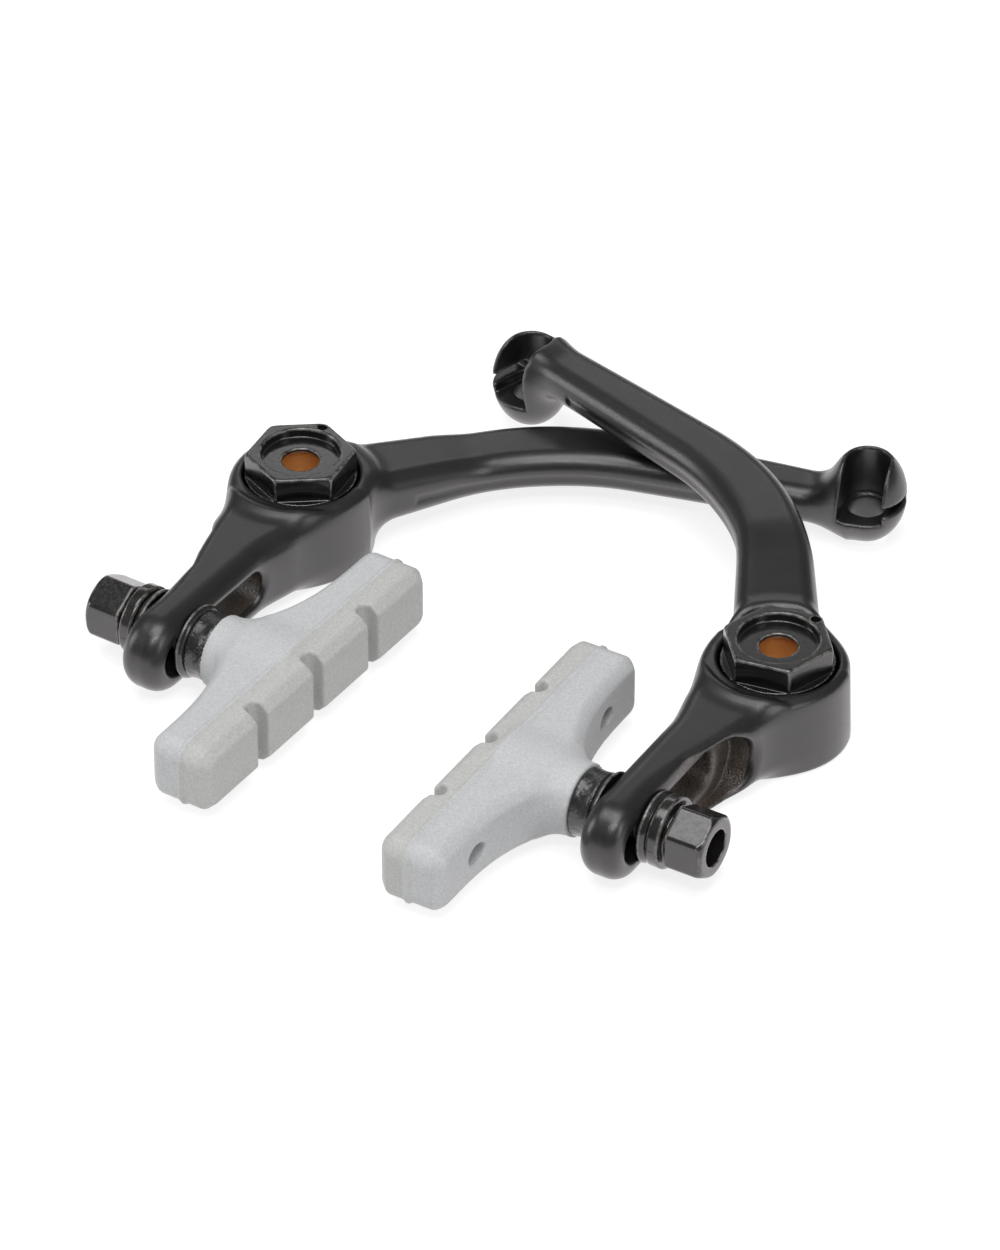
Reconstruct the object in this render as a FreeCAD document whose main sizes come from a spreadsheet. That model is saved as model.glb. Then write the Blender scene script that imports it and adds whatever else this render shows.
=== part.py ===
"""Cross-arm bicycle rim brake: two forged arms swing on frame posts and press a pad on each side of a rim.

The origin lies midway between the two pivots, on the plane the arm bosses rest on. +X runs from the
left pivot to the right one, +Y away from the pads towards the cable, +Z along the pivots. Sizes in mm.
"""
import FreeCAD
import Part
import math
import os
import re

Vector = FreeCAD.Vector
Rotation = FreeCAD.Rotation
UP = Vector(0, 0, 1)

SIDES = {"left": -1, "right": 1}
NEAR = 0.01

SIZES = [
    ("pivot_spacing", "92", "between the two pivot axes"),
    ("left_swing", "0", "degrees the left arm lies turned about its pivot"),
    ("right_swing", "2.8", "degrees the right arm lies turned about its pivot, a little open"),
    ("boss_base_radius", "12", "pivot boss at its foot"),
    ("boss_top_radius", "11.5", "pivot boss at its rim"),
    ("boss_height", "15", "pivot boss"),
    ("boss_edge", "1.2", "rounding of the boss rim"),
    ("recess_radius", "9.75", "spring recess in the boss"),
    ("recess_floor", "5", "height of the recess floor"),
    ("hub_radius", "6.3", "tube left standing in the recess"),
    ("hub_drop", "1.9", "that tube's top below the boss's rim"),
    ("hub_height", "=boss_height - recess_floor - hub_drop", "that tube above the recess floor"),
    ("bush_radius", "5", "outside of the bronze bushing"),
    ("bush_wall", "1", "wall of the bronze bushing"),
    ("bush_gap", "0.3", "end play between bushing, hub and tension nut"),
    ("nut_across_flats", "16", "tension nut hexagon"),
    ("nut_hex_height", "4.3", "tension nut hexagon"),
    ("nut_edge", "0.4", "chamfer on the hexagon's top corners"),
    ("nut_collar_radius", "9.2", "round collar under the hexagon"),
    ("nut_collar_height", "0.9", "round collar under the hexagon"),
    ("nut_bore_radius", "6.5", "counterbore for the bolt head"),
    ("nut_bore_depth", "1.6", "counterbore for the bolt head"),
    ("nut_floor", "0.8", "floor that the bolt clamps on the post"),
    ("bolt_hole_radius", "3.1", "clearance hole for the pivot bolt"),
    ("nut_bush_play", "0.6", "room between bushing and nut"),
    ("spring_wire", "1.6", "return spring wire diameter"),
    ("spring_radius", "7.9", "middle of the spring wire from the pivot axis"),
    ("spring_turns", "3", "turns of the return spring"),
    ("spring_leg_depth", "2.4", "depth of the spring's leg in the arm"),
    ("spring_play", "0.2", "room round the spring legs and under the coil"),
    ("lever_bend_in", "21.2", "lever bend from the pivot, towards the middle"),
    ("lever_bend_up", "36.8", "lever bend from the pivot, away from the pads"),
    ("lever_end_in", "76.6", "ball end from the pivot, towards the middle"),
    ("lever_end_up", "53.1", "ball end from the pivot, away from the pads"),
    ("lever_bend_radius", "46", "radius of the bend in the lever"),
    ("lever_root_width", "15", "lever where it leaves the boss"),
    ("lever_bend_width", "11.8", "lever at its bend"),
    ("lever_end_width", "9", "lever at the ball end"),
    ("lever_root_depth", "11", "lever where it leaves the boss"),
    ("lever_bend_depth", "7", "lever at its bend"),
    ("lever_end_depth", "6.8", "lever at the ball end"),
    ("lever_corner", "2.4", "rounding along the lever"),
    ("lever_groove", "0.6", "depth of the groove along the lever's inner side"),
    ("lever_groove_half", "0.8", "half height of that groove"),
    ("root_level", "9.2", "middle of both levers at the boss"),
    ("left_bend_level", "6.6", "middle of the left lever at its bend"),
    ("left_end_level", "5.9", "middle of the left lever at its ball"),
    ("right_bend_level", "14.8", "middle of the right lever at its bend"),
    ("right_end_level", "14.5", "middle of the right lever at its ball"),
    ("ball_half_height", "8.8", "ball-shaped cable seat, which is taller than wide"),
    ("left_ball_level", "8.8", "middle of the ball above the boss's foot"),
    ("right_ball_level", "9.8", "middle of the ball above the boss's foot"),
    ("ball_radius", "6.65", "ball-shaped cable seat, seen from above"),
    ("cable_bore_radius", "3.6", "seat for the cable's end in the ball"),
    ("cable_slit", "1.7", "slit in the ball for the cable"),
    ("stud_axis_height", "7.9", "pad stud above the base plane"),
    ("stud_offset", "40", "pad stud from the pivot line"),
    ("leg_inner", "7.4", "inner face of the leg, from the pivot towards the middle"),
    ("leg_thickness", "7.8", "slotted part of the leg"),
    ("leg_corner", "3.5", "rounding along the leg"),
    ("leg_half_height", "6.7", "half height of the slotted part"),
    ("slot_width", "6.3", "slot for the pad stud"),
    ("slot_near", "45", "slot end near the tip, from the pivot line"),
    ("slot_far", "24.3", "slot end near the boss, from the pivot line"),
    ("track_width", "11.4", "sunk track for the washer"),
    ("track_far", "22", "track end near the boss, from the pivot line"),
    ("stud_radius", "3", "pad stud"),
    ("stud_play", "0.1", "room round the stud in washers, nut and pad"),
    ("stud_in_pad", "6", "length of the stud inside the pad"),
    ("spacer_radius", "5.8", "spacer between pad and arm"),
    ("spacer_length", "3.6", "spacer between pad and arm"),
    ("inner_washer_radius", "6.5", "domed washer inside the leg"),
    ("inner_washer_length", "1.1", "domed washer inside the leg"),
    ("outer_washer_radius", "6.2", "dished washer outside the leg"),
    ("outer_washer_length", "1.5", "dished washer outside the leg"),
    ("washer_dome", "0.8", "how far a washer narrows over its thickness"),
    ("pad_nut_flange_radius", "6", "flange of the pad nut"),
    ("pad_nut_flange_length", "2.2", "flange of the pad nut"),
    ("pad_nut_neck_radius", "4.4", "neck between flange and hexagon"),
    ("pad_nut_neck_length", "0.7", "neck between flange and hexagon"),
    ("pad_nut_across_flats", "10", "hexagon of the pad nut"),
    ("pad_nut_hex_length", "6.6", "hexagon of the pad nut"),
    ("pad_nut_socket", "5", "hex socket across flats"),
    ("pad_nut_socket_depth", "3.6", "hex socket"),
    ("pad_nut_edge", "0.5", "chamfer on the nut's outer end"),
    ("pad_length", "62", "brake pad"),
    ("pad_height", "11.7", "brake pad"),
    ("pad_corner", "3", "rounding of the pad's ends"),
    ("pad_block", "5.2", "friction block, face to flash ridge"),
    ("pad_bevel", "1.6", "bevel round the friction face"),
    ("pad_back", "14", "flash ridge to the end of the stud boss"),
    ("pad_end_back", "6.3", "flash ridge to the back, at the pad's ends"),
    ("pad_boss_radius", "6.1", "stud boss on the pad"),
    ("pad_flash", "0.35", "how far the flash ridge stands out"),
    ("pad_flash_width", "0.5", "width of the flash ridge"),
    ("groove_width", "3", "grooves across the friction face"),
    ("groove_depth", "3.2", "grooves across the friction face"),
    ("groove_spacing", "15.4", "between the grooves"),
    ("pad_hole_radius", "1.7", "blind holes in the pad's back"),
    ("pad_hole_depth", "2.2", "blind holes in the pad's back"),
    ("pad_hole_offset", "20", "blind holes from the stud"),
]

doc = FreeCAD.newDocument("rim_brake")
sheet = doc.addObject("Spreadsheet::Sheet", "sizes")
for row, (alias, value, note) in enumerate(SIZES, start=1):
    sheet.set(f"A{row}", note)
    sheet.set(f"B{row}", value)
    sheet.setAlias(f"B{row}", alias)
doc.recompute()


def size(alias):
    """A driving size from the sheet."""
    return float(sheet.get(alias))


def bind(piece, **formulas):
    """Tie properties to formulas written in the sheet's own aliases, such as Radius='bush_radius'."""
    for name, formula in formulas.items():
        cells = re.sub(r"\b(?!cos|sin|deg)[a-z_]{3,}", r"sizes.\g<0>", formula)
        piece.setExpression(name.replace("__", "."), cells)
    return piece


def cylinder(name, radius, length, start="0"):
    """A cylinder up its own Z axis."""
    piece = doc.addObject("Part::Cylinder", name)
    return bind(piece, Radius=radius, Height=length, Placement__Base__z=start)


def cone(name, foot_radius, top_radius, length, start="0"):
    """A cone up its own Z axis."""
    piece = doc.addObject("Part::Cone", name)
    return bind(piece, Radius1=foot_radius, Radius2=top_radius, Height=length, Placement__Base__z=start)


def hexagon(name, across_flats, length, start="0"):
    """A hexagonal prism up its own Z axis."""
    corner = f"({across_flats}) / {math.sqrt(3)}"
    piece = doc.addObject("Part::Prism", name)
    piece.Polygon = 6
    return bind(piece, Circumradius=corner, Height=length, Placement__Base__z=start)


def fuse(name, pieces):
    """Several solids joined to one."""
    piece = doc.addObject("Part::MultiFuse", name)
    piece.Shapes = pieces
    piece.Refine = True
    return piece


def cut(name, base, tools):
    """A solid with others taken out of it."""
    piece = doc.addObject("Part::Cut", name)
    piece.Base = base
    piece.Tool = tools[0] if len(tools) == 1 else fuse(f"{name}_tools", tools)
    piece.Refine = True
    return piece


def made(name, shape):
    """A solid worked out from the sheet by one of the functions below."""
    piece = doc.addObject("Part::Feature", name)
    piece.Shape = shape
    return piece


SUBPARTS = []
NUT_UNDERSIDE = "(recess_floor + hub_height + bush_gap)"
NUT_TOP = f"({NUT_UNDERSIDE} + nut_collar_height + nut_hex_height)"
NUT_FLOOR_TOP = f"({NUT_TOP} - nut_bore_depth)"
POST_END = f"({NUT_FLOOR_TOP} - nut_floor)"


def seat_on_pivot(piece, label, side, turn=0.0):
    """Give a sub-part its label and stand it on its side's pivot axis."""
    piece.Label = label
    piece.Placement = FreeCAD.Placement(Vector(), Rotation(UP, turn))
    bind(piece, Placement__Base__x=f"{SIDES[side]} * pivot_spacing / 2")
    SUBPARTS.append(piece)


def seat_on_stud(piece, label, side, reach):
    """Point a sub-part's own Z axis outwards on the pad stud's axis, reach outside the pivot."""
    sign = SIDES[side]
    outwards = Rotation(Vector(0, 1, 0), 90 * sign)
    turn = Rotation(UP, size(f"{side}_swing"))
    cosine = f"cos({side}_swing * 1 deg)"
    sine = f"sin({side}_swing * 1 deg)"
    piece.Label = label
    piece.Placement = FreeCAD.Placement(Vector(), turn.multiply(outwards))
    bind(piece,
         Placement__Base__x=f"{sign} * (pivot_spacing / 2 + ({reach}) * {cosine}) + stud_offset * {sine}",
         Placement__Base__y=f"{sign} * ({reach}) * {sine} - stud_offset * {cosine}",
         Placement__Base__z="stud_axis_height")
    SUBPARTS.append(piece)


# Pieces on the pivot

NUT_TURNS = {"left": 37.5, "right": 12.8}
SPRING_CORNERS = {"left": 60.0, "right": 60.0}


def add_pivot_bushing(side):
    """Bronze sleeve pressed into the arm; the frame's post passes through it."""
    name = f"{side}_pivot_bushing"
    sleeve = cylinder(f"{name}_sleeve", "bush_radius", f"{POST_END} - bush_gap")
    bore = cylinder(f"{name}_bore", "bush_radius - bush_wall", POST_END)
    seat_on_pivot(cut(f"{name}_solid", sleeve, [bore]), name, side)


def add_tension_nut(side):
    """Hex nut that the pivot bolt clamps on the post; its corner hole takes the spring's upper leg."""
    name = f"{side}_tension_nut"
    hex_start = f"{NUT_UNDERSIDE} + nut_collar_height"
    hexagon_solid = hexagon(f"{name}_hex", "nut_across_flats", "nut_hex_height", hex_start)
    corner = f"nut_across_flats / {math.sqrt(3)}"
    crown = cone(f"{name}_crown", f"{corner} - nut_edge + nut_hex_height", f"{corner} - nut_edge",
                 "nut_hex_height", hex_start)
    crowned = doc.addObject("Part::Common", f"{name}_crowned")
    crowned.Base = hexagon_solid
    crowned.Tool = crown
    collar = cylinder(f"{name}_collar", "nut_collar_radius", "nut_collar_height", NUT_UNDERSIDE)
    body = fuse(f"{name}_body", [crowned, collar])
    counterbore = cylinder(f"{name}_counterbore", "nut_bore_radius", "nut_bore_depth", NUT_FLOOR_TOP)
    bolt_hole = cylinder(f"{name}_bolt_hole", "bolt_hole_radius", NUT_TOP)
    bush_room = cylinder(f"{name}_bush_room", "bush_radius + nut_bush_play", POST_END)
    leg_hole = cylinder(f"{name}_leg_hole", "spring_wire / 2 + spring_play", NUT_TOP)
    angle = math.radians(SPRING_CORNERS[side])
    bind(leg_hole, Placement__Base__x=f"spring_radius * {math.cos(angle)}",
         Placement__Base__y=f"spring_radius * {math.sin(angle)}")
    solid = cut(f"{name}_solid", body, [counterbore, bolt_hole, bush_room, leg_hole])
    seat_on_pivot(solid, name, side, NUT_TURNS[side])


def spring_shape(sign):
    """Torsion coil with one straight leg down into the arm and one up through the nut."""
    wire = size("spring_wire")
    radius = size("spring_radius")
    underside = size("recess_floor") + size("hub_height") + size("bush_gap")
    coil_foot = size("recess_floor") + wire / 2 + size("spring_play")
    coil_rise = underside - wire / 2 - size("spring_play") - coil_foot
    path = Part.makeHelix(coil_rise / size("spring_turns"), coil_rise, radius, 0, sign < 0)
    section = Part.Wire(Part.makeCircle(wire / 2, Vector(radius, 0, 0), Vector(0, 1, 0)))
    coil = Part.Wire(path).makePipeShell([section], True, True)
    coil.translate(Vector(0, 0, coil_foot))
    foot = Vector(radius, 0, coil_foot)
    head_turn = 2 * math.pi * size("spring_turns") * sign
    head = Vector(radius * math.cos(head_turn), radius * math.sin(head_turn), coil_foot + coil_rise)
    nut_height = size("nut_collar_height") + size("nut_hex_height")
    leg_down = size("spring_leg_depth") + foot.z - size("recess_floor")
    leg_up = underside + nut_height - head.z
    lower_leg = Part.makeCylinder(wire / 2, leg_down, foot, -UP)
    upper_leg = Part.makeCylinder(wire / 2, leg_up, head, UP)
    elbows = [Part.makeSphere(wire / 2, foot), Part.makeSphere(wire / 2, head)]
    return coil.fuse([lower_leg, upper_leg] + elbows).removeSplitter()


def add_return_spring(side):
    """The coil is turned so that its upper leg meets the nut's corner hole."""
    name = f"{side}_return_spring"
    seat_on_pivot(made(f"{name}_solid", spring_shape(SIDES[side])), name, side, spring_turn(side))


def spring_turn(side):
    """Direction of the spring's legs, in degrees about the pivot."""
    return NUT_TURNS[side] + SPRING_CORNERS[side]


# The forged arm, worked out for the right side and mirrored for the left

# Sections of the lever: 1 is the bend and 2 the ball; its taper to the bend is over a little before that.
LEVER_STATIONS = (0, 0.35, 0.6, 0.8, 1, 1.25, 1.6, 2)
LEVER_SETTLED = 0.8
# Share of the leg's length, and how far its inner and outer faces have closed in from the boss by then.
LEG_FLARE = ((0, 0, 0), (0.3, 0.55, 0.42), (0.5, 1, 0.7), (0.68, 1, 0.9), (0.84, 1, 1), (1, 1, 1))


def bar_section(centre, along, width, depth, corner, groove=0.0, groove_half=0.0):
    """Closed outline of a bar: a rounded rectangle across the direction along, grooved on its inner side."""
    across = UP.cross(along).normalize()
    half_width = width / 2
    half_depth = depth / 2

    def at(out, rise):
        return centre + across * out + UP * rise

    def rounded(out_sign, rise_sign):
        flat_out = out_sign * (half_width - corner)
        flat_rise = rise_sign * (half_depth - corner)
        lean = corner * math.sqrt(0.5)
        middle = at(flat_out + out_sign * lean, flat_rise + rise_sign * lean)
        side_end = at(out_sign * half_width, flat_rise)
        level_end = at(flat_out, rise_sign * half_depth)
        return side_end, middle, level_end

    low_in, mid_low_in, low_in_level = rounded(1, -1)
    low_out, mid_low_out, low_out_level = rounded(-1, -1)
    top_out, mid_top_out, top_out_level = rounded(-1, 1)
    top_in, mid_top_in, top_in_level = rounded(1, 1)
    edges = [Part.LineSegment(low_in_level, low_out_level),
             Part.Arc(low_out_level, mid_low_out, low_out),
             Part.LineSegment(low_out, top_out),
             Part.Arc(top_out, mid_top_out, top_out_level),
             Part.LineSegment(top_out_level, top_in_level),
             Part.Arc(top_in_level, mid_top_in, top_in)]
    if groove_half:
        groove_top = at(half_width, groove_half)
        groove_foot = at(half_width, -groove_half)
        edges += [Part.LineSegment(top_in, groove_top),
                  Part.Arc(groove_top, at(half_width - groove, 0), groove_foot),
                  Part.LineSegment(groove_foot, low_in)]
    else:
        edges.append(Part.LineSegment(top_in, low_in))
    edges.append(Part.Arc(low_in, mid_low_in, low_in_level))
    return Part.Wire([edge.toShape() for edge in edges])


def smooth_loft(sections):
    """Solid through all the sections; cubic, because a higher degree swings out between them."""
    return Part.makeLoft(sections, True, False, False, 3)


def lever_path():
    """Function from the distance along the lever to its middle point and direction, and the whole length."""
    bend = Vector(-size("lever_bend_in"), size("lever_bend_up"), 0)
    end = Vector(-size("lever_end_in"), size("lever_end_up"), 0)
    first = Vector(bend).normalize()
    second = (end - bend).normalize()
    turn = first.getAngle(second)
    radius = size("lever_bend_radius")
    tangent = radius * math.tan(turn / 2)
    straight = bend.Length - tangent
    arc = radius * turn
    total = straight + arc + (end - bend).Length - tangent

    def at(distance):
        if distance < straight:
            return first * distance, first
        if distance < straight + arc:
            angle = math.degrees((distance - straight) / radius)
            heading = Rotation(UP, angle).multVec(first)
            inward = UP.cross(first)
            centre = first * straight + inward * radius
            return centre - Rotation(UP, angle).multVec(inward) * radius, heading
        return end - second * (total - distance), second

    return at, straight + arc / 2, total


def between(fraction, start, stop):
    """Value a fraction of the way from start to stop."""
    return start + (stop - start) * fraction


def lever_shape(side):
    """Bar lofted from the boss round the bend to the ball."""
    path, bend, total = lever_path()
    sections = []
    for part in LEVER_STATIONS:
        if part <= 1:
            distance = between(part, 0, bend)
            ease = min(1, part / LEVER_SETTLED)
            width = between(ease, size("lever_root_width"), size("lever_bend_width"))
            depth = between(ease, size("lever_root_depth"), size("lever_bend_depth"))
            level = between(ease, size("root_level"), size(f"{side}_bend_level"))
        else:
            distance = between(part - 1, bend, total)
            width = between(part - 1, size("lever_bend_width"), size("lever_end_width"))
            depth = between(part - 1, size("lever_bend_depth"), size("lever_end_depth"))
            level = between((part - 1) ** 3, size(f"{side}_bend_level"), size(f"{side}_end_level"))
        middle, heading = path(distance)
        sections.append(bar_section(middle + UP * level, heading, width, depth, size("lever_corner"),
                                    size("lever_groove"), size("lever_groove_half")))
    return smooth_loft(sections)


def leg_shape():
    """Leg lofted from the boss to the slotted plate, with a round end about the slot's end."""
    inner = -size("leg_inner")
    outer = inner + size("leg_thickness")
    middle_level = size("stud_axis_height")
    boss = size("boss_top_radius")
    along = Vector(0, -1, 0)
    tip = -size("slot_near")
    depth = 2 * size("leg_half_height")
    sections = []
    for part, inner_share, outer_share in LEG_FLARE:
        left = between(inner_share, -boss, inner)
        right = between(outer_share, boss, outer)
        centre = Vector((left + right) / 2, tip * part, middle_level)
        sections.append(bar_section(centre, along, right - left, depth, size("leg_corner")))
    leg = smooth_loft(sections)
    end_face = Part.Face(sections[-1])
    upper = Part.makeBox(4 * size("leg_thickness"), 1, depth, Vector(2 * inner, tip - 0.5, middle_level))
    half_face = end_face.common(upper)
    end = half_face.revolve(Vector(0, tip, middle_level), Vector(1, 0, 0), 180)
    return leg.fuse(end)


def racetrack(width, start, stop, low, high):
    """Round-ended slot tool along Y at the stud's height, reaching from low to high in X."""
    level = size("stud_axis_height")
    length = high - low
    axis = Vector(1, 0, 0)
    ends = [Part.makeCylinder(width / 2, length, Vector(low, -place, level), axis) for place in (start, stop)]
    span = abs(stop - start)
    bridge = Part.makeBox(length, span, width, Vector(low, -max(start, stop), level - width / 2))
    return bridge.fuse(ends)


def ball_shape(centre):
    """Round cable seat, stretched upwards from a sphere."""
    stretch = FreeCAD.Matrix()
    stretch.scale(1, 1, size("ball_half_height") / size("ball_radius"))
    ball = Part.makeSphere(size("ball_radius")).transformGeometry(stretch)
    ball.translate(centre)
    return ball


def arm_shape(side):
    """One forging: boss, lever, ball and leg joined, then bored, recessed, slotted and slit."""
    height = size("boss_height")
    boss = Part.makeCone(size("boss_base_radius"), size("boss_top_radius"), height)
    rim = [edge for edge in boss.Edges if abs(edge.BoundBox.ZMin - height) < NEAR]
    boss = boss.makeFillet(size("boss_edge"), rim)
    path, bend, total = lever_path()
    end_middle, end_heading = path(total)
    ball_centre = end_middle + UP * size(f"{side}_ball_level")
    ball = ball_shape(ball_centre)
    blank = boss.fuse([leg_shape(), lever_shape(side), ball])

    floor = size("recess_floor")
    hub_top = floor + size("hub_height")
    tall = 2 * height
    recess = Part.makeCylinder(size("recess_radius"), tall, UP * floor)
    recess = recess.cut(Part.makeCylinder(size("hub_radius"), size("hub_height"), UP * floor))
    bush_bore = Part.makeCylinder(size("bush_radius"), tall + hub_top)
    leg_turn = math.radians(spring_turn(side) - size(f"{side}_swing"))
    if side == "left":
        leg_turn = math.pi - leg_turn
    leg_hole_radius = size("spring_wire") / 2 + size("spring_play")
    leg_hole_foot = floor - size("spring_leg_depth") - size("spring_play")
    leg_hole = Part.makeCylinder(leg_hole_radius, floor, Vector(size("spring_radius") * math.cos(leg_turn),
                                 size("spring_radius") * math.sin(leg_turn), leg_hole_foot))

    inner = -size("leg_inner")
    outer = inner + size("leg_thickness")
    slot = racetrack(size("slot_width"), size("slot_far"), size("slot_near"), 2 * inner, -2 * inner)
    track = racetrack(size("track_width"), size("track_far"), 2 * size("slot_near"), outer, -2 * inner)
    washer_face = racetrack(2 * size("inner_washer_radius"), size("track_far"), 2 * size("slot_near"),
                            2 * inner, inner)

    reach = 2 * size("ball_half_height")
    inward = UP.cross(end_heading)
    seat_bore = Part.makeCylinder(size("cable_bore_radius"), 2 * reach, ball_centre - UP * reach)
    mouth = Part.makeBox(2 * size("cable_bore_radius"), reach, 2 * reach,
                         Vector(-size("cable_bore_radius"), 0, -reach))
    slit = Part.makeBox(reach, 2 * reach, size("cable_slit"), Vector(0, -reach, -size("cable_slit") / 2))
    heading = math.degrees(math.atan2(end_heading.y, end_heading.x))
    for tool, turn in ((mouth, math.degrees(math.atan2(inward.y, inward.x)) - 90), (slit, heading)):
        tool.Placement = FreeCAD.Placement(ball_centre, Rotation(UP, turn)).multiply(tool.Placement)
    tools = [recess, bush_bore, leg_hole, slot, track, washer_face, seat_bore, mouth, slit]
    arm = blank.cut(tools).removeSplitter()
    if side == "left":
        arm = arm.mirror(Vector(), Vector(1, 0, 0))
    return arm.Solids[0]


def add_arm(side):
    """The arm stands on its pivot as worked out."""
    seat_on_pivot(made(f"{side}_arm_solid", arm_shape(side)), f"{side}_arm", side, size(f"{side}_swing"))


# The brake pad, worked out with the stud axis as Z, outwards, and the pad along Y

# How far up the stud boss the back sweeps, and a point of that sweep as shares of its length and rise.
PAD_SWEEP_TOP = 0.5
PAD_HOLLOW = (0.42, 0.2)


def pad_shape():
    """Moulded pad: grooved friction block, flash ridge, boat-shaped back and round stud boss."""
    length = size("pad_length")
    height = size("pad_height")
    corner = size("pad_corner")
    block_depth = size("pad_block")
    block = Part.makeBox(height, length, block_depth, Vector(-height / 2, -length / 2, -block_depth))
    ends = [edge for edge in block.Edges if edge.BoundBox.ZLength > block_depth / 2]
    block = block.makeFillet(corner, ends)
    face_edges = [edge for edge in block.Edges if edge.BoundBox.ZMax < NEAR - block_depth]
    block = block.makeChamfer(size("pad_bevel"), face_edges)

    half = length / 2
    end_back = size("pad_end_back")
    boss_radius = size("pad_boss_radius")
    boss_foot = between(PAD_SWEEP_TOP, end_back, size("pad_back"))
    shoulder = half - corner
    inset = corner * (1 - math.sqrt(0.5))
    hollow_out = between(PAD_HOLLOW[0], boss_radius, shoulder)
    hollow_back = between(PAD_HOLLOW[1], end_back, boss_foot)
    outline = []
    tops = {}
    for sign in (1, -1):
        base = Vector(0, sign * half, 0)
        wall = Vector(0, sign * half, end_back - corner)
        turn = Vector(0, sign * (half - inset), end_back - inset)
        rear = Vector(0, sign * shoulder, end_back)
        hollow = Vector(0, sign * hollow_out, hollow_back)
        tops[sign] = Vector(0, sign * boss_radius, boss_foot)
        outline += [Part.LineSegment(Vector(), base), Part.LineSegment(base, wall),
                    Part.Arc(wall, turn, rear), Part.Arc(rear, hollow, tops[sign])]
    outline.append(Part.LineSegment(tops[1], tops[-1]))
    loop = Part.Wire(Part.__sortEdges__([edge.toShape() for edge in outline]))
    back = Part.Face(loop).extrude(Vector(height, 0, 0))
    back.translate(Vector(-height / 2, 0, 0))
    boss = Part.makeCylinder(boss_radius, size("pad_back"))
    ridge = size("pad_flash")
    ridge_width = size("pad_flash_width")
    flash = Part.makeBox(height + 2 * ridge, length + 2 * ridge, ridge_width,
                         Vector(-height / 2 - ridge, -half - ridge, -ridge_width / 2))
    flash_ends = [edge for edge in flash.Edges if edge.BoundBox.ZLength > ridge_width / 2]
    flash = flash.makeFillet(corner, flash_ends)
    blank = block.fuse([back, boss, flash])

    tools = []
    for count in (-1, 0, 1):
        place = count * size("groove_spacing")
        radius = size("groove_width") / 2
        root = size("groove_depth") - radius - size("pad_block")
        tools.append(Part.makeCylinder(radius, 2 * height, Vector(-height, place, root), Vector(1, 0, 0)))
        tools.append(Part.makeBox(2 * height, 2 * radius, size("pad_block"),
                                  Vector(-height, place - radius, root - size("pad_block"))))
    for sign in (1, -1):
        hole_foot = end_back - size("pad_hole_depth")
        tools.append(Part.makeCylinder(size("pad_hole_radius"), size("pad_back"),
                                       Vector(0, sign * size("pad_hole_offset"), hole_foot)))
    stud_bore = size("stud_radius") + size("stud_play")
    stud_foot = UP * (size("pad_back") - size("stud_in_pad"))
    tools.append(Part.makeCylinder(stud_bore, size("pad_back"), stud_foot))
    return blank.cut(tools).removeSplitter().Solids[0]


PAD_END = "(0 - leg_inner - inner_washer_length - spacer_length)"
LEG_OUTSIDE = "(leg_thickness - leg_inner)"


def add_pad(side):
    """The pad's boss ends against the spacer."""
    name = f"{side}_brake_pad"
    seat_on_stud(made(f"{name}_solid", pad_shape()), name, side, f"{PAD_END} - pad_back")


# Pieces on the pad stud

def add_pad_stud(side):
    """Steel stud from inside the pad to the socket of the nut."""
    name = f"{side}_pad_stud"
    nut_length = "pad_nut_flange_length + pad_nut_neck_length + pad_nut_hex_length - pad_nut_socket_depth"
    length = (f"stud_in_pad + spacer_length + inner_washer_length + leg_thickness + outer_washer_length"
              f" + {nut_length}")
    stud = cylinder(f"{name}_solid", "stud_radius", length)
    seat_on_stud(stud, name, side, f"{PAD_END} - stud_in_pad")


def add_ring(side, name, outside, length, reach, narrowing="0", outwards=True):
    """A spacer or washer on the stud; narrowing makes it a dome."""
    label = f"{side}_{name}"
    foot = outside if outwards else f"{outside} - {narrowing}"
    top = f"{outside} - {narrowing}" if outwards else outside
    if narrowing == "0":
        body = cylinder(f"{label}_body", outside, length)
    else:
        body = cone(f"{label}_body", foot, top, length)
    bore = cylinder(f"{label}_bore", "stud_radius + stud_play", length)
    seat_on_stud(cut(f"{label}_solid", body, [bore]), label, side, reach)


def add_pad_nut(side):
    """Flanged hex nut, chamfered at its outer end, with a hex socket."""
    name = f"{side}_pad_nut"
    flange = cylinder(f"{name}_flange", "pad_nut_flange_radius", "pad_nut_flange_length")
    neck_start = "pad_nut_flange_length"
    neck = cylinder(f"{name}_neck", "pad_nut_neck_radius", "pad_nut_neck_length", neck_start)
    hex_start = "pad_nut_flange_length + pad_nut_neck_length"
    socket_floor = f"{hex_start} + pad_nut_hex_length - pad_nut_socket_depth"
    hexagon_solid = hexagon(f"{name}_hex", "pad_nut_across_flats", "pad_nut_hex_length", hex_start)
    crown = cone(f"{name}_crown", "pad_nut_across_flats / 2 + pad_nut_hex_length",
                 "pad_nut_across_flats / 2 - pad_nut_edge", "pad_nut_hex_length", hex_start)
    crowned = doc.addObject("Part::Common", f"{name}_crowned")
    crowned.Base = hexagon_solid
    crowned.Tool = crown
    body = fuse(f"{name}_body", [flange, neck, crowned])
    socket = hexagon(f"{name}_socket", "pad_nut_socket", "pad_nut_socket_depth", socket_floor)
    bore = cylinder(f"{name}_bore", "stud_radius + stud_play", socket_floor)
    nut = cut(f"{name}_solid", body, [socket, bore])
    seat_on_stud(nut, name, side, f"{LEG_OUTSIDE} + outer_washer_length")


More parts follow.
